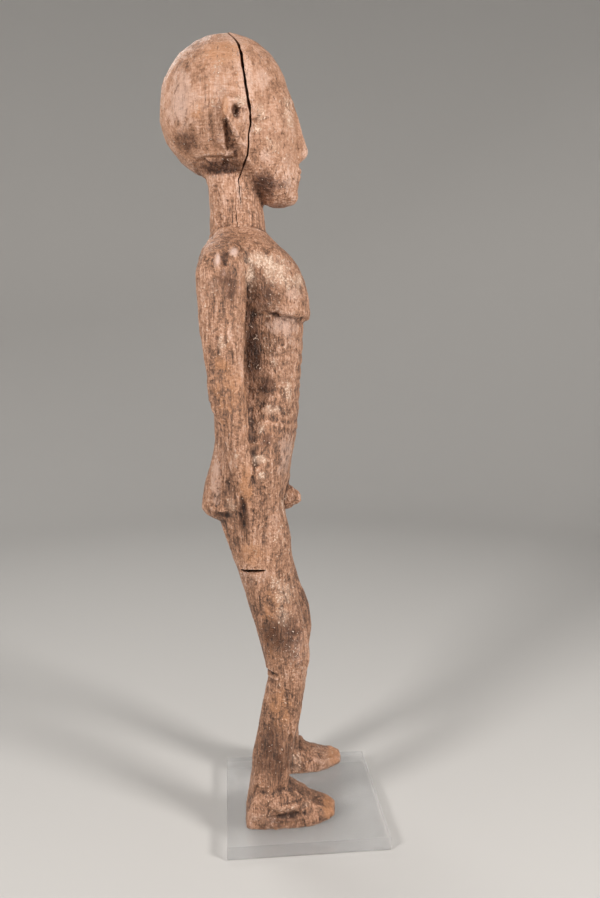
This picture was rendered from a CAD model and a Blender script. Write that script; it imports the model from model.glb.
"""A standing Lobi ancestor figure of weathered wood, on its clear acrylic plate.

It is seen from its right side, from a little above, on a pale floor in soft light.
"""

import math

import bmesh
import bpy
import numpy as np
from mathutils import Matrix, Vector, noise
from mathutils.kdtree import KDTree


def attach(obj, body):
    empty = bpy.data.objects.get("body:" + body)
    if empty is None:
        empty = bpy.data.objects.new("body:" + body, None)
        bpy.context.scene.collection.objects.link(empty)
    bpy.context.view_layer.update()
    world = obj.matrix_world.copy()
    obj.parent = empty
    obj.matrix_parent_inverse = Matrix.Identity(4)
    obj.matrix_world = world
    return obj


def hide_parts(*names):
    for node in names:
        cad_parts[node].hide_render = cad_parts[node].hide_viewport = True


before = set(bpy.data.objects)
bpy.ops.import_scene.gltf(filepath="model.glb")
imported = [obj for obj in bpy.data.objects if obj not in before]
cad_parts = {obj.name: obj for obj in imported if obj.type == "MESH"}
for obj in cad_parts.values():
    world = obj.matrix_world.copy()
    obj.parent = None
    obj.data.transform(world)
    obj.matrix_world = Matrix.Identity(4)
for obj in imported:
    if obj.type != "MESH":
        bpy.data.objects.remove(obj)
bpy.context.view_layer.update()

# The place where it is looked at: a camera at the height of the figure's chest, a pale floor that curves up
# all round, and three soft lamps. One stands before the figure, one behind it and one on its far side.
CAMERA_PLACE = Vector((-0.7056, 0.0713, 0.4635))
CAMERA_DOWN, CAMERA_TO_RIGHT = math.radians(7.70), math.radians(5.61)
CAMERA_LENS, CAMERA_FILM, CAMERA_NEAR = 30.02, 36.0, 0.01
LOOK_AT = Vector((0.0, 0.04, 0.42))
AIR_COLOUR, AIR_STRENGTH = (0.80, 0.82, 0.85, 1), 0.16
FLOOR_COLOUR, FLOOR_ROUGHNESS = (0.55, 0.54, 0.525, 1), 0.7
FLOOR_REACH, FLOOR_SQUARES, FLOOR_DROP = 4.3, 120, 0.0004
FLOOR_BEND_START, FLOOR_BEND = 1.3, 0.8

# Each lamp's place, size, power and colour.
LAMPS = {
    "front": ((-0.78, -1.00, 0.86), 0.36, 19.0, (1.0, 0.965, 0.93)),
    "rear": ((-0.80, 0.98, 1.00), 0.36, 16.0, (1.0, 0.965, 0.93)),
    "far": ((1.0, 0.5, 1.5), 0.8, 7.0, (1.0, 0.98, 0.95)),
}

scene = bpy.context.scene


def put_in_scene(name, data):
    placed = bpy.data.objects.new(name, data)
    scene.collection.objects.link(placed)
    return placed


def finish_of(name, values):
    """A new material, with its plain values on its shader's own sockets."""
    material = bpy.data.materials.new(name)
    material.use_nodes = True
    for socket, value in values.items():
        material.node_tree.nodes["Principled BSDF"].inputs[socket].default_value = value
    return material


camera = put_in_scene("camera", bpy.data.cameras.new("camera"))
camera.data.sensor_width = CAMERA_FILM
camera.data.lens = CAMERA_LENS
camera.data.clip_start = CAMERA_NEAR
level = math.cos(CAMERA_DOWN)
sideways = math.sin(CAMERA_TO_RIGHT) * level
ahead = Vector((math.cos(CAMERA_TO_RIGHT) * level, -sideways, -math.sin(CAMERA_DOWN)))
camera.location = CAMERA_PLACE
camera.rotation_euler = ahead.to_track_quat("-Z", "Y").to_euler()
scene.camera = camera
scene.view_settings.view_transform = "Standard"

for name, (place, size, power, colour) in LAMPS.items():
    lamp = put_in_scene(f"{name}_lamp", bpy.data.lights.new(f"{name}_lamp", "AREA"))
    lamp.data.shape = "DISK"
    lamp.data.size = size
    lamp.data.energy = power
    lamp.data.color = colour
    lamp.location = place
    lamp.rotation_euler = (LOOK_AT - lamp.location).to_track_quat("-Z", "Y").to_euler()

air = bpy.data.worlds.new("soft_air")
air.use_nodes = True
air.node_tree.nodes["Background"].inputs["Color"].default_value = AIR_COLOUR
air.node_tree.nodes["Background"].inputs["Strength"].default_value = AIR_STRENGTH
scene.world = air

floor_form = bmesh.new()
bmesh.ops.create_grid(floor_form, x_segments=FLOOR_SQUARES, y_segments=FLOOR_SQUARES, size=FLOOR_REACH)
for vertex in floor_form.verts:
    reach = vertex.co.xy.length
    past = max(0.0, reach - FLOOR_BEND_START)
    turned = min(past / FLOOR_BEND, math.pi / 2)
    if past > 0:
        vertex.co.xy *= (FLOOR_BEND_START + FLOOR_BEND * math.sin(turned)) / reach
    vertex.co.z = FLOOR_BEND * (1 - math.cos(turned)) + past - FLOOR_BEND * turned - FLOOR_DROP
floor = put_in_scene("floor", bpy.data.meshes.new("floor"))
floor_form.to_mesh(floor.data)
floor_form.free()
floor.data.materials.append(
    finish_of("floor_paint", {"Base Color": FLOOR_COLOUR, "Roughness": FLOOR_ROUGHNESS})
)
floor.data.polygons.foreach_set("use_smooth", [True] * len(floor.data.polygons))

# The figure is cut with adze and knife from one length of dense wood. Its surface is rounded and dry, with
# the tools' shallow flats, long grain, a deep drying split in the head and clay left in its hollows.
MILLIMETRE = 0.001
FIGURE_TURN = math.radians(8)
FIGURE_PLACE = Vector((0.008, 0.0, 0.013))
CARVING = Matrix.Translation(FIGURE_PLACE) @ Matrix.Rotation(-FIGURE_TURN, 4, "Z")
CARVING = CARVING @ Matrix.Scale(MILLIMETRE, 4)
WELD, FINENESS, TRIANGLES = 1e-6, 0.00145, 192000
ROUNDING, ROUNDING_ROUNDS, SHARP_ANGLE = 0.5, 6, math.radians(55)

# The solid's cuts, which are closed before it is made finer: the split's line (back, height) and the two
# corners of the hand's cut, each with how far its walls reach from it.
SPLIT_LINE = [
    (62, 738),
    (57, 722),
    (49.5, 705),
    (47, 686),
    (43, 659),
    (41.5, 639),
    (44, 624),
    (48, 612),
    (54, 600),
]
SPLIT_REACH, SPLIT_OVERRUN = 1.45, 0.02
HAND_CUT = ((-90, 31, 247.6), (-50, 51.5, 250.8))
HAND_CUT_REACH = 0.1

# The cuts as they show: (back, height, how far from the middle it ends, width).
SPLIT_PATH = [
    (71, 733, 4, 1.2),
    (66, 727, 8, 1.8),
    (61, 720.5, 14, 2.4),
    (57, 716.5, 18, 2.6),
    (52.7, 709.7, 24, 3.4),
    (49.4, 698, 29, 3.3),
    (47.5, 685, 32, 2.6),
    (45.7, 673, 33, 2.8),
    (44.1, 662.6, 34, 3.6),
    (42.2, 652, 34, 3.8),
    (42.2, 643, 33, 3.2),
    (44.4, 633, 32, 2.2),
    (44.8, 624, 30, 2.6),
    (46, 617, 27, 3.0),
    (50.3, 610, 24, 3.2),
    (54.3, 603, 21, 2.6),
    (55.4, 598, 20, 1.2),
]
UPPER_NECK_CRACK = [(55.4, 601, 20, 2.0), (54.8, 592, 20, 1.7), (53.4, 579, 21, 0.9)]
LOWER_NECK_CRACK = [(58.2, 577, 21, 0.9), (57.4, 568, 21.5, 1.6), (56.2, 558, 22, 1.4)]
HAND_SLIT = [
    (29.8, 250.4, 48, 0.9),
    (34, 249.8, 48, 2.8),
    (40, 249.4, 48, 3.8),
    (46, 249.0, 49, 3.9),
    (50, 248.8, 50, 3.4),
    (53, 248.6, 51, 1.4),
]
BLADE_REACH, SPLIT_ROOT, SLIT_ROOT, RAGGED_STEP = 20, 0.45, 0.9, 3.2
SWAY, SWAY_PACE, SWAY_ROW = 0.45, 0.9, (3.3, 0)
SWELL, SWELL_PACE, SWELL_ROW = 0.6, 0.8, (0, 7.7)


def to_carving(verts):
    """The vertices' places in the carving's millimetres: to its left, backwards and up from its soles."""
    places = np.array([vertex.co for vertex in verts])
    turn = np.array(CARVING.inverted())
    return places @ turn[:3, :3].T + turn[:3, 3]


def beside_split(place, reach):
    """Whether a place lies within reach of the split's line, seen from the figure's right side."""
    spot = np.array(place)
    if spot[0] > 0:
        return False
    line = np.array(SPLIT_LINE, float)
    for start, end in zip(line[:-1], line[1:], strict=True):
        along = end - start
        part = np.dot(spot[1:] - start, along) / np.dot(along, along)
        part = np.clip(part, -SPLIT_OVERRUN, 1 + SPLIT_OVERRUN)
        if np.linalg.norm(spot[1:] - start - part * along) < reach:
            return True
    return False


def in_hand_cut(place, reach):
    low, high = HAND_CUT
    return all(a - reach < value < b + reach for a, value, b in zip(low, place, high, strict=True))


def close_cut(form, inside):
    """Takes a cut's walls out of the copied solid and closes its mouth, so that it can be made finer."""
    spots = to_carving(form.verts)
    form.verts.index_update()
    walls = [face for face in form.faces if all(inside(spots[vertex.index]) for vertex in face.verts)]
    bmesh.ops.delete(form, geom=walls, context="FACES")
    mouth = [edge for edge in form.edges if edge.is_boundary]
    filled = bmesh.ops.holes_fill(form, edges=mouth, sides=0)["faces"]
    bmesh.ops.triangulate(form, faces=filled)


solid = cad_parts["figure"]
carving = bmesh.new()
carving.from_mesh(solid.data)
bmesh.ops.remove_doubles(carving, verts=carving.verts, dist=WELD)
close_cut(carving, lambda spot: beside_split(spot, SPLIT_REACH))
close_cut(carving, lambda spot: in_hand_cut(spot, HAND_CUT_REACH))
bmesh.ops.recalc_face_normals(carving, faces=carving.faces)
blank = put_in_scene("blank", bpy.data.meshes.new("blank"))
carving.to_mesh(blank.data)
carving.free()
finer = blank.modifiers.new("finer", "REMESH")
finer.mode = "VOXEL"
finer.voxel_size = FINENESS
finer.adaptivity = 0.0
rounder = blank.modifiers.new("rounder", "SMOOTH")
rounder.factor = ROUNDING
rounder.iterations = ROUNDING_ROUNDS
graph = bpy.context.evaluated_depsgraph_get()
figure_mesh = bpy.data.meshes.new_from_object(blank.evaluated_get(graph), depsgraph=graph)
bpy.data.objects.remove(blank)


def neighbours_mean(places, ends, rounds, amount=0.5):
    """The surface after each place has moved towards the mean of its neighbours, round by round."""
    touching = np.bincount(ends.ravel(), minlength=len(places))[:, None]
    for _ in range(rounds):
        sums = np.empty_like(places)
        for axis in range(places.shape[1]):
            value = places[:, axis]
            first = np.bincount(ends[:, 0], weights=value[ends[:, 1]], minlength=len(value))
            second = np.bincount(ends[:, 1], weights=value[ends[:, 0]], minlength=len(value))
            sums[:, axis] = first + second
        places = places + amount * (sums / touching - places)
    return places


def surface_of(mesh):
    """The mesh's places and outward directions in the carving's millimetres, and its edges' ends."""
    mesh.update()
    facing = np.empty(len(mesh.vertices) * 3)
    mesh.vertices.foreach_get("normal", facing)
    ends = np.empty(len(mesh.edges) * 2, int)
    mesh.edges.foreach_get("vertices", ends)
    turn = np.array(CARVING.to_3x3().normalized())
    return to_carving(mesh.vertices), facing.reshape(-1, 3) @ turn, ends.reshape(-1, 2)


def put_surface(mesh, spots):
    turn = np.array(CARVING)
    mesh.vertices.foreach_set("co", (spots @ turn[:3, :3].T + turn[:3, 3]).ravel())
    mesh.update()


def waver_of(spots, size):
    """An uneven shift of each place, between about -1 and 1 in all three directions."""
    return np.array([noise.noise_vector(Vector(spot) / size) for spot in spots])


def within(values, low, high, fade):
    """1 between two limits, fading to 0 outside them."""
    return np.clip(np.minimum(values - low, high - values) / fade + 1, 0, 1)


# Hollows (-) and bosses (+) cut by knife: (x, back, height, reach in x, back and height, depth, both). They
# lie on the right side and, where both is true, on the left one as well.
KNIFE_WORK = [
    (-54, 53.5, 650.5, 9, 3.2, 3.4, -3.6, True),
    (-54, 52.5, 646, 9, 4.0, 3.5, -1.6, True),
    (-54, 58.5, 653, 9, 1.8, 6, 0.9, True),
    (-52, 50, 657.5, 9, 7, 1.8, 1.1, True),
    (-51, 48, 653.5, 9, 4, 1.4, 0.8, True),
    (-47, 49, 634, 8, 3.5, 14, -1.0, True),
    (-45, 75, 634, 12, 3, 16, -0.9, True),
    (-43, 83, 632, 12, 3, 14, -0.8, False),
    (-36, 92, 634, 12, 3, 12, -0.6, False),
    (-31, 74, 616.5, 15, 20, 1.6, -1.3, False),
    (-24, 69, 606.5, 15, 20, 1.8, -1.4, False),
    (-29, 76, 611, 15, 9, 1.6, 0.6, False),
    (-19, 8, 653.2, 9.5, 7, 0.9, -0.9, True),
    (-19, 9, 659.6, 9.5, 7, 1.0, -0.6, True),
    (-17, 8, 668, 11, 7, 2.2, 0.8, True),
    (-4.6, -4, 620.6, 2.2, 3.2, 1.5, -1.2, True),
    (0, 2, 608.4, 12, 7, 0.8, -0.8, True),
    (-67, 49.6, 314, 9, 3.0, 9, -1.3, True),
    (-66, 49.0, 302, 9, 3.4, 10, -1.7, True),
    (-64, 47.8, 289, 9, 3.8, 9, -1.4, True),
    (-64, 53.5, 302, 9, 1.4, 18, 0.4, True),
    (-63, 38, 300, 9, 1.3, 30, 0.5, True),
    (-61, 47, 278, 9, 4.0, 6, -0.7, True),
    (-58, 73, 300, 12, 8, 3.0, -1.1, True),
    (-58, 73, 306, 12, 9, 2.5, 0.8, True),
    (-60, 60, 315, 12, 5, 12, 1.8, True),
    (-64, 37.5, 326, 12, 3.0, 13, 1.5, True),
    (-63, 35.5, 312, 12, 3.0, 11, 1.5, True),
    (-62, 33, 299, 12, 3.0, 11, 1.3, True),
    (-56, 27, 150.5, 14, 8, 1.7, -1.5, True),
    (-56, 27, 146, 14, 8, 2.0, 0.7, True),
    (-67, 21, 27, 7, 5.5, 5, 2.2, True),
    (-66, 4, 23.5, 12, 18, 2.4, 1.8, True),
    (-68, 5, 15.5, 12, 20, 3.4, -1.7, True),
    (-61, 14, 82, 12, 8, 10, -0.8, False),
    (-61, 24, 96, 12, 4, 12, -0.6, False),
    (-76, 60.5, 527, 10, 3.4, 12, -1.0, False),
    (-79, 67, 523, 10, 3.0, 9, 0.9, False),
    (-73, 54, 530, 10, 3.2, 6, 0.8, False),
    (-68, 49, 533, 10, 1.6, 7, -0.9, False),
    (-80, 71, 500, 10, 2.4, 20, -0.5, True),
    (-79, 55, 480, 10, 2.4, 30, -0.4, True),
    (-60, 58, 332, 12, 5, 14, -0.9, False),
    (-78, 80, 402, 14, 8, 2.6, -1.3, False),
    (-78, 80, 396, 14, 8, 2.2, 0.6, False),
]
KNIFE_WAVER, KNIFE_WAVER_SIZE, KNIFE_EDGE = np.array((0.0, 1.1, 1.3)), 6.0, 1.6
FLAT_STRETCH, FLAT_COUNT, FLAT_SHARE, FLAT_LIMIT = np.array((1.0, 1.0, 2.0)), 1500, 0.7, 0.8
FLAT_SEED, FLAT_TONE_SEED = 11, 5
WAVE_LENGTH, WAVE_DEPTH, WAVE_WAVER, WAVE_WAVER_SIZE = 12.5, 0.35, 5, 22
COLLAR_HEIGHT, COLLAR_FALL, COLLAR_RISE = 560, 0.008, 1.0
COLLAR_MIDDLE, COLLAR_EDGE, COLLAR_FADE = 57, 1.5, 10
NECK_MIDDLE, NECK_REACH = 58, (0, 34, 8)
EAR_CREASE, EAR_CREASE_END, EAR_BEVEL, EAR_BEVEL_DEPTH = (61, 645), (47.5, 624), 0.55, 3.0
EAR_LIP, EAR_LIP_WIDTH = 0.6, 1.1
CRISPNESS, CRISP_ROUNDS, EVENING_ROUNDS = 0.9, 4, 2

# The size and depth of the wear, which is longer up the wood than across it.
WEAR, WEAR_STRETCH = [(9.0, 0.30), (3.6, 0.16)], 0.6

# Zones: limits from the middle to both sides, up and backwards, each (low, high, fade).
EARS = (43, 99, 3), (606, 664, 4), None
EAR_BLADES = (37, 99, 3), (612, 647, 3), (43, 63.5, 1.5)
FACE = None, (578, 720, 6), (-99, 36, 6)
BELLY = None, (352, 470, 12), (-99, 34, 16)


def in_zone(spots, zone):
    """1 in a zone, fading to 0 outside it."""
    share = np.ones(len(spots))
    for values, limits in zip((np.abs(spots[:, 0]), spots[:, 2], spots[:, 1]), zone, strict=True):
        if limits:
            share *= within(values, *limits)
    return share


def ear_crease(spots):
    """How far the ear's blade moves outwards: in behind the crease that runs down it, out at the crease."""
    start, end = np.array(EAR_CREASE), np.array(EAR_CREASE_END)
    along = (end - start) / np.linalg.norm(end - start)
    behind = (spots[:, 1] - start[0]) * -along[1] + (spots[:, 2] - start[1]) * along[0]
    bevel = np.clip(behind * EAR_BEVEL, 0, EAR_BEVEL_DEPTH)
    lip = EAR_LIP * np.exp(-((behind / EAR_LIP_WIDTH) ** 2))
    return in_zone(spots, EAR_BLADES) * (lip - bevel)


def knife_work(spots):
    """How far the knife's hollows and bosses move each place outwards."""
    moved = np.zeros(len(spots))
    spots = spots + KNIFE_WAVER * waver_of(spots, KNIFE_WAVER_SIZE) * (1 - in_zone(spots, EARS))[:, None]
    for x, y, z, reach_x, reach_y, reach_z, depth, both in KNIFE_WORK:
        aside = -np.abs(spots[:, 0]) if both else spots[:, 0]
        away = ((aside - x) / reach_x) ** 2 + ((spots[:, 1] - y) / reach_y) ** 2
        away += ((spots[:, 2] - z) / reach_z) ** 2
        moved += depth * np.exp(-(away**KNIFE_EDGE))
    return moved


def flat_of(spots):
    """Which of the tool's flats each place lies in."""
    return np.array([flat_tree.find(Vector(spot))[1] for spot in spots / FLAT_STRETCH])


def adze_flats(spots, facing):
    """The tool's shallow flats: each place moves part of the way to the plane of its own flat."""
    flat = flat_of(spots)
    out = facing[flat_middles][flat]
    above = np.einsum("ij,ij->i", spots - spots[flat_middles][flat], out)
    level = np.bincount(flat, weights=above, minlength=FLAT_COUNT) / np.bincount(flat, minlength=FLAT_COUNT)
    shift = np.clip((level[flat] - above) * FLAT_SHARE, -FLAT_LIMIT, FLAT_LIMIT)
    shift *= (1 - in_zone(spots, FACE)) * (1 - in_zone(spots, EARS))
    return out * shift[:, None]


spots, facing, ends = surface_of(figure_mesh)
flat_middles = np.random.default_rng(FLAT_SEED).choice(len(spots), FLAT_COUNT, replace=False)
flat_tree = KDTree(FLAT_COUNT)
for k, index in enumerate(flat_middles):
    flat_tree.insert(Vector(spots[index] / FLAT_STRETCH), k)
flat_tree.balance()
spots += adze_flats(spots, facing)
spots = neighbours_mean(spots, ends, EVENING_ROUNDS)
waver = np.array([noise.noise(Vector(spot) / WAVE_WAVER_SIZE) for spot in spots])
moved = knife_work(spots) + ear_crease(spots)
waves = np.sin(2 * math.pi * spots[:, 2] / WAVE_LENGTH + WAVE_WAVER * waver)
moved += in_zone(spots, BELLY) * WAVE_DEPTH * waves
collar = COLLAR_HEIGHT - COLLAR_FALL * (spots[:, 1] - COLLAR_MIDDLE) ** 2 - spots[:, 2]
on_neck = within(np.hypot(spots[:, 0], spots[:, 1] - NECK_MIDDLE), *NECK_REACH)
on_neck = COLLAR_RISE * on_neck * np.clip(collar / COLLAR_EDGE, 0, 1)
moved += on_neck * np.exp(-((collar / COLLAR_FADE) ** 2))
for size, depth in WEAR:
    worn = [noise.noise(Vector((x, y, z * WEAR_STRETCH)) / size) for x, y, z in spots]
    moved += depth * np.array(worn)
spots += facing * moved[:, None]
rounded = neighbours_mean(spots, ends, CRISP_ROUNDS)
spots += CRISPNESS * (spots - rounded)
put_surface(figure_mesh, spots)


def ragged(path):
    """A cut's path in short steps that sway, with widths that swell and shrink."""
    table = np.array(path, float)
    lengths = np.linalg.norm(np.diff(table[:, :2], axis=0), axis=1)
    reached = np.concatenate(([0.0], np.cumsum(lengths)))
    wanted = np.linspace(0, reached[-1], round(reached[-1] / RAGGED_STEP) + 1)
    fine = np.column_stack([np.interp(wanted, reached, table[:, k]) for k in range(4)])
    for k, row in enumerate(fine):
        row[0] += SWAY * noise.noise(Vector((k * SWAY_PACE, *SWAY_ROW)))
        row[3] *= 1 + SWELL * noise.noise(Vector((k * SWELL_PACE, *SWELL_ROW)))
    return fine


def blade_form(line, root=SPLIT_ROOT):
    """A wedge that follows a cut's line: its full width outside the wood, and root times that inside it."""
    form = bmesh.new()
    along = np.gradient(line[:, :2], axis=0)
    along /= np.linalg.norm(along, axis=1)[:, None]
    loops = []
    for (y, z, end, mouth), (dy, dz) in zip(line, along, strict=True):
        ring = []
        for x, width in ((-end - BLADE_REACH, mouth), (-end, mouth * root)):
            half = width / 2
            edges = [(x, y - dz * half, z + dy * half), (x, y + dz * half, z - dy * half)]
            ring += edges[::-1] if x == -end else edges
        corners = [form.verts.new(CARVING @ Vector(corner)) for corner in ring]
        loops.append([form.edges.new((corners[i], corners[(i + 1) % 4])) for i in range(4)])
    for upper, lower in zip(loops[:-1], loops[1:], strict=True):
        bmesh.ops.bridge_loops(form, edges=upper + lower)
    for loop in (loops[0], loops[-1]):
        bmesh.ops.contextual_create(form, geom=loop)
    bmesh.ops.triangulate(form, faces=form.faces)
    bmesh.ops.recalc_face_normals(form, faces=form.faces)
    return form


cuts = {
    "head_split": blade_form(ragged(SPLIT_PATH)),
    "upper_neck_crack": blade_form(ragged(UPPER_NECK_CRACK)),
    "lower_neck_crack": blade_form(ragged(LOWER_NECK_CRACK)),
    "hand_slit": blade_form(np.array(HAND_SLIT), SLIT_ROOT),
}
figure = put_in_scene("carved_figure", figure_mesh)
blades = []
for name, form in cuts.items():
    blade = put_in_scene(name, bpy.data.meshes.new(name))
    form.to_mesh(blade.data)
    form.free()
    cut = figure.modifiers.new(name, "BOOLEAN")
    cut.operation = "DIFFERENCE"
    cut.solver = "EXACT"
    cut.object = blade
    blades.append(blade)
thin = figure.modifiers.new("thin", "DECIMATE")
thin.decimate_type = "COLLAPSE"
thin.use_collapse_triangulate = True
thin.ratio = TRIANGLES / (2 * len(figure_mesh.polygons))
graph = bpy.context.evaluated_depsgraph_get()
cut_mesh = bpy.data.meshes.new_from_object(figure.evaluated_get(graph), depsgraph=graph)
figure.modifiers.clear()
figure.data = cut_mesh
for blade in blades:
    bpy.data.objects.remove(blade)
cut_mesh.polygons.foreach_set("use_smooth", [True] * len(cut_mesh.polygons))
cut_mesh.set_sharp_from_angle(angle=SHARP_ANGLE)

# Where the wood's finish differs: (x, back, height, half across, half up, amount).
CLAY_PLACES = [
    (-51, 73, 657, 3.2, 3.2, 0.7),
    (-51, 49, 658, 6.9, 4.2, 0.9),
    (-40, 35, 652, 5.9, 8.0, 0.8),
    (-38, 36, 638, 3.2, 4.3, 0.8),
    (-34, 23, 626, 7.5, 7.5, 0.6),
    (-24, 11, 664, 6.1, 7.7, 0.7),
    (-25, 10, 650, 5.5, 9.8, 0.8),
    (-58, 33, 525, 15.5, 7.5, 1.0),
    (-57, 41, 512, 5.0, 11.0, 1.0),
    (-55, 20, 517, 14.0, 11.0, 0.95),
    (-50, 10, 507, 9.0, 7.0, 0.8),
    (-37, 1, 509, 5.0, 10.0, 0.9),
    (-78, 65, 453, 3.4, 7.2, 0.9),
    (-40, 28, 453, 11.8, 7.7, 0.45),
    (-39, 22, 436, 3.6, 4.1, 0.7),
    (-53, 33, 378, 4.5, 5.6, 0.55),
    (-61, 35, 353, 6.5, 4.5, 0.9),
    (-60, 31, 338, 6.6, 4.5, 0.7),
    (-73, 54, 356, 2.5, 2.5, 0.8),
    (-34, 10, 410, 3.1, 9.3, 0.75),
    (-46, 25, 395, 9.2, 4.6, 0.8),
    (-59, 61, 310, 5.6, 10.7, 0.55),
    (-25, 17, 306, 5.4, 6.4, 0.7),
    (-51, 17, 278, 4.7, 18.2, 0.45),
    (-58, 21, 237, 6.3, 6.3, 0.7),
    (-56, 13, 227, 8.5, 12.2, 0.75),
    (-59, 14, 208, 8.5, 11.2, 0.65),
    (-60, 12, 125, 2.8, 5.0, 0.5),
    (31, 9, 24, 7.9, 17.7, 0.45),
    (-61, 3, 22, 18.5, 4.0, 0.5),
    (-64, 17, 24, 4.7, 4.1, 0.6),
    (29, 7, 12, 7.9, 12.5, 0.6),
    (-42, 8, 352, 3.5, 20.0, 0.5),
]
STAIN_PLACES = [
    (-26, 70, 610, 25.0, 7.5, 1.0),
    (-42, 60, 628, 4.0, 13.0, 0.5),
    (-51, 61, 638, 4.0, 7.3, 0.45),
    (-44, 55, 622, 3.4, 9.0, 0.6),
    (-53, 53, 650, 4.5, 7.0, 0.9),
    (-54, 62.2, 641, 1.7, 5.0, 1.0),
    (-50, 60.3, 634, 1.7, 5.0, 1.0),
    (-44, 58.3, 626, 1.7, 5.0, 1.0),
    (-36, 56.5, 619, 1.9, 5.0, 1.0),
    (-33, 101, 630, 18.0, 10.0, 0.7),
    (-50, 66, 681, 8.0, 8.0, 0.3),
    (-24, 32, 594, 13.0, 15.0, 1.0),
    (-27, 20, 594, 14.0, 8.0, 0.7),
    (-45, 73, 635, 7.9, 20.0, 0.5),
    (-53, 54, 651, 3.7, 4.2, 0.9),
    (-53, 27, 498, 17.0, 13.0, 0.66),
    (-43, 43, 478, 5.6, 13.8, 0.9),
    (-41, 41, 446, 8.0, 33.0, 0.95),
    (-41, 28, 459, 6.7, 8.2, 0.6),
    (-41, 40, 446, 7.7, 15.8, 0.7),
    (-42, 29, 416, 9.2, 12.3, 0.8),
    (-44, 42, 411, 5.1, 8.2, 0.6),
    (-56, 29, 369, 6.0, 7.6, 0.8),
    (-59, 38, 362, 4.5, 3.5, 0.6),
    (-79, 68, 459, 2.5, 2.5, 0.9),
    (-66, 50, 302, 5.0, 19.7, 0.9),
    (-66, 45, 296, 4.0, 13.1, 0.6),
    (-55, 30, 290, 4.1, 6.2, 0.5),
    (-57, 67, 301, 11.2, 3.6, 0.8),
    (-59, 1, 169, 9.8, 12.5, 0.6),
    (-60, 14, 190, 24.0, 20.0, 0.80),
    (-61, 22, 72, 24.0, 30.0, 0.70),
    (-78, 58, 503, 12.0, 18.0, 0.72),
    (-60, 17, 193, 8.6, 9.6, 0.6),
    (-60, 20, 168, 9.8, 7.6, 0.4),
    (-64, 13, 12, 20.3, 6.6, 0.7),
    (-61, 15, 80, 8.0, 14.3, 0.4),
    (-61, 28, 92, 6.8, 11.4, 0.4),
    (-73, 57, 362, 3.9, 19.6, 0.4),
    (-71, 54, 338, 4.0, 22.3, 0.4),
]
POLISH_PLACES = [
    (-43, 103, 659, 16.0, 30.4, 0.8),
    (-38, 31, 678, 6.5, 9.8, 0.5),
    (-78, 67, 524, 2.9, 6.8, 1.0),
    (-72, 54, 531, 3.9, 5.4, 1.0),
    (-80, 61, 512, 2.5, 2.9, 0.8),
    (-38, 14, 470, 18.5, 10.3, 0.8),
    (-58, 74, 329, 5.1, 18.2, 0.7),
    (-24, 67, 579, 4.3, 8.5, 0.5),
    (-45, 6, 498, 8.2, 7.2, 0.5),
    (-44, 12, 355, 9.0, 24.0, 0.7),
    (-40, 8, 316, 9.0, 14.0, 0.5),
    (-36, 13, 441, 15.5, 13.9, 0.3),
    (-36, 88, 707, 19.3, 13.8, 0.35),
    (-33, 28, 617, 6.9, 6.4, 0.6),
    (-52, 45, 217, 8.0, 18.7, 0.3),
]
TAN_PLACES = [
    (-47, 90, 652, 6.3, 6.3, 0.8),
    (-57, 62, 653, 3.1, 7.3, 0.9),
    (-43, 67, 701, 21.7, 12.0, 0.5),
    (-77, 58, 410, 14.5, 24.2, 0.42),
    (-70, 46, 329, 6.0, 17.4, 0.7),
    (-78, 66, 436, 5.8, 4.8, 0.8),
    (-62, 42, 265, 11.8, 10.8, 0.5),
    (-60, 25, 199, 9.6, 37.3, 0.4),
    (-60, 17, 121, 11.2, 16.7, 0.5),
    (-49, -29, 13, 5.5, 9.2, 1.0),
    (46, -34, 17, 5.4, 12.1, 0.9),
]
PLACES = {"clay": CLAY_PLACES, "stain": STAIN_PLACES, "polish": POLISH_PLACES, "tan": TAN_PLACES}
PLACE_DEPTH, PLACE_FALL, PLACE_EDGE = 20, -0.7, 1.5
HOLLOW_ROUNDS, HOLLOW_SHARE, HOLLOW_DEPTH = 14, 0.6, 0.9
FLAT_WAVER, FLAT_WAVER_SIZE = 2.0, 5.0


def amounts_in(spots, places):
    """How much of a finish each place has, from the patches that it lies in."""
    found = np.zeros(len(spots))
    for x, y, z, across, up, amount in places:
        away = ((spots[:, 1] - y) / across) ** 2 + ((spots[:, 2] - z) / up) ** 2
        away += ((spots[:, 0] - x) / PLACE_DEPTH) ** 2
        found = np.maximum(found, amount * np.exp(PLACE_FALL * away**PLACE_EDGE))
    return found


def put_amounts(mesh, name, amounts):
    layer = mesh.attributes.new(name, "FLOAT", "POINT")
    layer.data.foreach_set("value", np.clip(amounts, 0, 1).astype(np.float32))


spots, facing, ends = surface_of(cut_mesh)
rounded = neighbours_mean(spots, ends, HOLLOW_ROUNDS, HOLLOW_SHARE)
hollow = np.einsum("ij,ij->i", rounded - spots, facing) / HOLLOW_DEPTH
for name, places in PLACES.items():
    put_amounts(cut_mesh, name, amounts_in(spots, places))
put_amounts(cut_mesh, "hollow", hollow)
put_amounts(cut_mesh, "edge", -hollow)
flat_tones = np.random.default_rng(FLAT_TONE_SEED).random(FLAT_COUNT)
flat_tone = flat_tones[flat_of(spots + FLAT_WAVER * waver_of(spots, FLAT_WAVER_SIZE))]
put_amounts(cut_mesh, "flat_tone", neighbours_mean(flat_tone[:, None], ends, EVENING_ROUNDS)[:, 0])


def add_node(tree, kind, inputs=None, **settings):
    """One node with its settings, and for each input a plain value or the socket that feeds it."""
    node = tree.nodes.new(kind)
    for name, value in settings.items():
        setattr(node, name, value)
    for name, value in (inputs or {}).items():
        if isinstance(value, bpy.types.NodeSocket):
            tree.links.new(value, node.inputs[name])
        else:
            node.inputs[name].default_value = value
    return node


old_wood = finish_of("old_wood", {"Specular IOR Level": 0.38})
grain_tree = old_wood.node_tree
wood_shader = grain_tree.nodes["Principled BSDF"]

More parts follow.
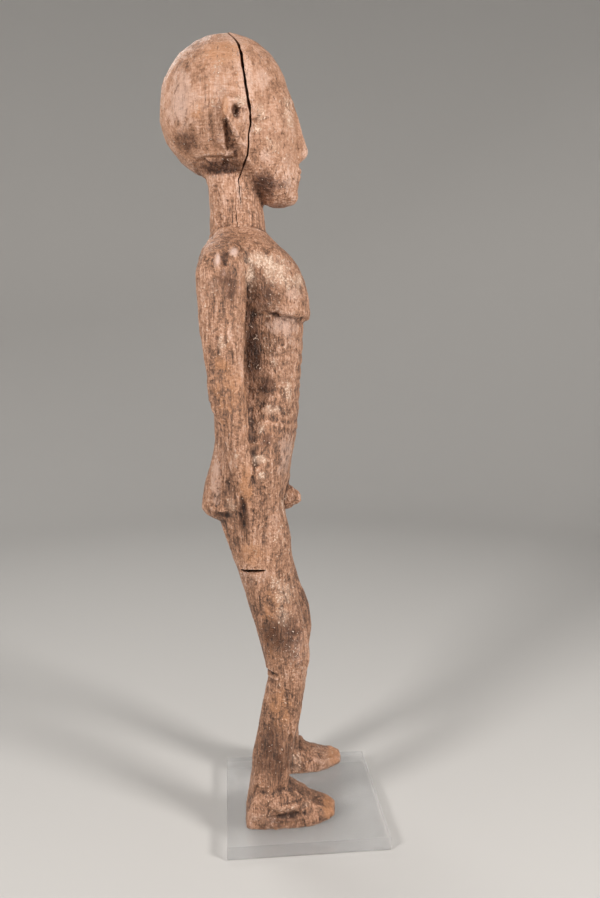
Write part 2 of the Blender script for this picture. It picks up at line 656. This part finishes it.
WOOD_TONES = [
    (0.16, (0.070, 0.035, 0.023)),
    (0.34, (0.190, 0.096, 0.058)),
    (0.50, (0.345, 0.174, 0.100)),
    (0.64, (0.485, 0.264, 0.168)),
    (0.84, (0.655, 0.422, 0.322)),
]
STAIN_COLOUR, STAIN_WASH, DEEP_WASH = (0.050, 0.025, 0.016, 1), (0.40, 0.34, 0.31, 1), (0.32, 0.25, 0.21, 1)
CLAY_COLOUR, CLAY_SHADE, CLAY_FILM = (0.90, 0.72, 0.59, 1), (0.68, 0.45, 0.32, 1), (0.66, 0.44, 0.32, 1)
POLISH_COLOUR, RUBBED_COLOUR = (0.66, 0.44, 0.35, 1), (0.80, 0.64, 0.60, 1)
TAN_COLOUR, ASH_COLOUR = (0.50, 0.235, 0.11, 1), (0.20, 0.155, 0.14, 1)
MIDDLE_TONE, PALER_HEAD, DARKER_LEGS = 0.46, 0.105, -0.05
LEAST_ROUGHNESS, RELIEF = 0.33, {"Strength": 0.8, "Distance": 0.001}

# The pattern's places are turned and moved to the carving's own, then swayed so that the grain wanders.
CARVING_MOVE = {"Rotation": (0, 0, FIGURE_TURN), "Location": (-0.0079, -0.0011, -0.013)}
GRAIN_SWAY, GRAIN_SWAY_SCALE, GRAIN_SWAY_DETAIL = (0.012, 0.012, 0.0), 14.0, 2.0
SCRATCH_SLANT = {"Rotation": (0.9, 0.2, 0.4), "Scale": (1, 0.12, 1)}

# The heights between which the head grows smooth, the neck turns pale and the legs turn dark.
SMOOTH_HEAD, PALE_HEAD, DARK_LEGS = (0.594, 0.622), (0.535, 0.572), (0.255, 0.200)

# The mixing node's sockets for colours.
MIX_AMOUNT, MIX_UNDER, MIX_OVER, MIX_RESULT = 0, 6, 7, 2


def wood_socket(kind, inputs=None, output=0, **settings):
    return add_node(grain_tree, kind, inputs, **settings).outputs[output]


def figured(kind, a, b=0.0, c=0.0):
    """One step of arithmetic on the pattern."""
    return wood_socket("ShaderNodeMath", {0: a, 1: b, 2: c}, operation=kind)


def times(a, b):
    return figured("MULTIPLY", a, b)


def added(value, pattern, weight):
    """A value with a share of a pattern added to it."""
    return figured("MULTIPLY_ADD", pattern, weight, value)


def swayed(value, pattern, weight):
    """A value that rises where a pattern is above its middle and falls where it is below."""
    return added(value, figured("SUBTRACT", pattern, 0.5), weight)


def ramped(value, low, high):
    """0 below low, 1 above high and smooth between them."""
    span = {"Value": value, "From Min": low, "From Max": high}
    return wood_socket("ShaderNodeMapRange", span, interpolation_type="SMOOTHSTEP", clamp=True)


def tinted(amount, under, over, blend="MIX"):
    """One colour laid over another by an amount."""
    inputs = {MIX_AMOUNT: amount, MIX_UNDER: under, MIX_OVER: over}
    return wood_socket("ShaderNodeMix", inputs, MIX_RESULT, data_type="RGBA", blend_type=blend)


def speckle(places, scale, detail, roughness, distortion=0.0):
    values = {"Vector": places, "Scale": scale, "Detail": detail, "Roughness": roughness}
    return wood_socket("ShaderNodeTexNoise", {**values, "Distortion": distortion})


def shortened(share):
    """The grain's places, shortened up the wood so that a pattern on them grows long."""
    return wood_socket("ShaderNodeMapping", {"Vector": grain_places, "Scale": (1, 1, share)})


def amount_of(name):
    return wood_socket("ShaderNodeAttribute", attribute_name=name, output="Fac")


object_places = wood_socket("ShaderNodeTexCoord", output="Object")
carving_places = wood_socket("ShaderNodeMapping", {"Vector": object_places, **CARVING_MOVE})
sway_noise = {"Vector": carving_places, "Scale": GRAIN_SWAY_SCALE, "Detail": GRAIN_SWAY_DETAIL}
sway = {0: wood_socket("ShaderNodeTexNoise", sway_noise, "Color"), 1: GRAIN_SWAY}
sway = wood_socket("ShaderNodeVectorMath", sway, operation="MULTIPLY")
grain_places = wood_socket("ShaderNodeVectorMath", {0: carving_places, 1: sway}, operation="ADD")
scratch_places = wood_socket("ShaderNodeMapping", {"Vector": carving_places, **SCRATCH_SLANT})

streaks = speckle(shortened(0.07), scale=430.0, detail=5.0, roughness=0.70)
fine_grain = speckle(shortened(0.045), scale=1000.0, detail=3.0, roughness=0.62)
mottle = speckle(shortened(0.65), scale=190.0, detail=4.0, roughness=0.68, distortion=0.3)
crack_field = speckle(shortened(0.035), scale=210.0, detail=2.0, roughness=0.5)
blotches = speckle(carving_places, scale=24.0, detail=3.0, roughness=0.58)
crumbs = speckle(carving_places, scale=480.0, detail=2.0, roughness=0.6)
dust = speckle(carving_places, scale=1300.0, detail=2.0, roughness=0.6)
scratches = speckle(scratch_places, scale=520.0, detail=2.0, roughness=0.5, distortion=0.4)
check_cells = {"Vector": shortened(0.3), "Scale": 95.0}
checks = wood_socket("ShaderNodeTexVoronoi", check_cells, feature="DISTANCE_TO_EDGE")

height = wood_socket("ShaderNodeSeparateXYZ", {"Vector": carving_places}, "Z")
pale_share = ramped(height, *PALE_HEAD)
rough_share = figured("SUBTRACT", 1.0, times(ramped(height, *SMOOTH_HEAD), 0.5))
dirt_amount = times(amount_of("hollow"), added(1.0, pale_share, -0.55))
flat_amount = amount_of("flat_tone")
polish_amount = amount_of("polish")

grained = 0.0
for pattern, weight in ((streaks, 0.9), (fine_grain, 0.7), (mottle, 0.55)):
    grained = swayed(grained, pattern, weight)
tone = added(MIDDLE_TONE, pale_share, PALER_HEAD)
tone = added(tone, ramped(height, *DARK_LEGS), DARKER_LEGS)
tone = swayed(tone, scratches, times(pale_share, 0.45))
tone = added(tone, grained, rough_share)
tone = swayed(tone, blotches, 0.50)
tone = swayed(tone, crumbs, times(rough_share, 0.8))
tone = swayed(tone, flat_amount, 0.10)
tone = added(tone, amount_of("edge"), 0.20)
tone = added(tone, dirt_amount, -0.16)
ramp = add_node(grain_tree, "ShaderNodeValToRGB", {"Fac": tone})
stops = ramp.color_ramp.elements
while len(stops) < len(WOOD_TONES):
    stops.new(0.5)
for stop, (place, colour) in zip(stops, WOOD_TONES, strict=True):
    stop.position = place
    stop.color = (*colour, 1)

# Where each layer of the finish shows: a pattern that is raised by the amounts and cut off by a ramp.
ash_mask = times(ramped(blotches, 0.52, 0.66), ramped(mottle, 0.44, 0.56))
tan_field = added(amount_of("tan"), blotches, 0.8)
tan_mask = ramped(added(tan_field, mottle, 2.0), 1.45, 2.05)
polish_field = added(polish_amount, mottle, 1.8)
polish_mask = ramped(added(polish_field, flat_amount, 0.4), 1.38, 1.80)
rubbed_mask = ramped(polish_amount, 0.70, 1.0)
pores = ramped(fine_grain, 0.37, 0.30)
stain_field = swayed(amount_of("stain"), mottle, 1.7)
stain_field = swayed(stain_field, crumbs, 0.8)
stain_mask, deep_mask = ramped(stain_field, 0.40, 0.80), ramped(stain_field, 0.80, 1.05)
dirt_mask = ramped(swayed(dirt_amount, mottle, 0.9), 0.18, 0.9)
check_mask = times(ramped(checks, 0.035, 0.012), ramped(mottle, 0.47, 0.40))
crack_place = figured("ABSOLUTE", figured("SUBTRACT", crack_field, 0.5))
crack_mask = times(ramped(crack_place, 0.010, 0.002), ramped(blotches, 0.53, 0.47))
crack_mask = times(crack_mask, ramped(mottle, 0.55, 0.45))
clay_amount = amount_of("clay")
film_mask = ramped(added(clay_amount, mottle, 1.6), 1.05, 1.85)
clay_field = added(added(-0.14, blotches, 0.5), clay_amount, 0.42)
clay_field = swayed(swayed(clay_field, crumbs, 2.2), mottle, 1.3)
clay_mask = ramped(clay_field, 0.52, 0.64)
clay_tone = tinted(ramped(dust, 0.35, 0.65), CLAY_SHADE, CLAY_COLOUR)

colour = ramp.outputs["Color"]
for mask, strength, layer, blend in (
    (ash_mask, 0.40, ASH_COLOUR, "MIX"),
    (tan_mask, 0.6, TAN_COLOUR, "MIX"),
    (polish_mask, 0.48, POLISH_COLOUR, "MIX"),
    (rubbed_mask, 0.42, RUBBED_COLOUR, "MIX"),
    (pores, times(rough_share, 0.35), STAIN_COLOUR, "MIX"),
    (stain_mask, 1.0, STAIN_WASH, "MULTIPLY"),
    (deep_mask, 1.0, DEEP_WASH, "MULTIPLY"),
    (dirt_mask, 1.0, STAIN_WASH, "MULTIPLY"),
    (check_mask, 0.45, STAIN_COLOUR, "MIX"),
    (crack_mask, 0.75, STAIN_COLOUR, "MIX"),
    (film_mask, 0.60, CLAY_FILM, "MIX"),
    (clay_mask, 0.8, clay_tone, "MIX"),
):
    colour = tinted(times(mask, strength), colour, layer, blend)
grain_tree.links.new(colour, wood_shader.inputs["Base Color"])

glints = times(ramped(crumbs, 0.56, 0.66), rough_share)
roughness = LEAST_ROUGHNESS
for pattern, weight in ((mottle, 0.38), (polish_mask, -0.18), (clay_mask, 0.08), (glints, -0.20)):
    roughness = added(roughness, pattern, weight)
grain_tree.links.new(roughness, wood_shader.inputs["Roughness"])

relief = 0.0
for pattern, weight in (
    (streaks, 0.9),
    (fine_grain, 0.4),
    (pores, -0.25),
    (mottle, 1.5),
    (crumbs, 2.1),
    (scratches, 0.35),
    (check_mask, -0.5),
    (crack_mask, -0.5),
    (clay_mask, added(0.35, dust, 0.6)),
):
    relief = added(relief, pattern, weight)
worked = wood_socket("ShaderNodeBump", {"Height": relief, **RELIEF})
grain_tree.links.new(worked, wood_shader.inputs["Normal"])

cut_mesh.materials.clear()
cut_mesh.materials.append(old_wood)
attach(figure, "root")
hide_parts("figure")

# The plate under the figure is sawn from clear acrylic half an inch thick, with polished faces and broken
# edges. It has gone slightly hazy with handling.
ACRYLIC = {
    "Base Color": (0.97, 0.975, 0.98, 1),
    "IOR": 1.49,
    "Transmission Weight": 0.8,
    "Alpha": 0.6,
}
HAZE = {"Scale": 22.0, "Detail": 4.0}
HAZE_SPAN = {"From Min": 0.35, "From Max": 0.65, "To Min": 0.06, "To Max": 0.2}

clear_acrylic = finish_of("clear_acrylic", ACRYLIC)
haze_tree = clear_acrylic.node_tree
plate_places = add_node(haze_tree, "ShaderNodeTexCoord").outputs["Object"]
haze = add_node(haze_tree, "ShaderNodeTexNoise", {"Vector": plate_places, **HAZE}).outputs["Fac"]
haze = add_node(haze_tree, "ShaderNodeMapRange", {"Value": haze, **HAZE_SPAN}).outputs["Result"]
haze_tree.links.new(haze, haze_tree.nodes["Principled BSDF"].inputs["Roughness"])
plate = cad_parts["base_plate"]
plate.data.materials.clear()
plate.data.materials.append(clear_acrylic)
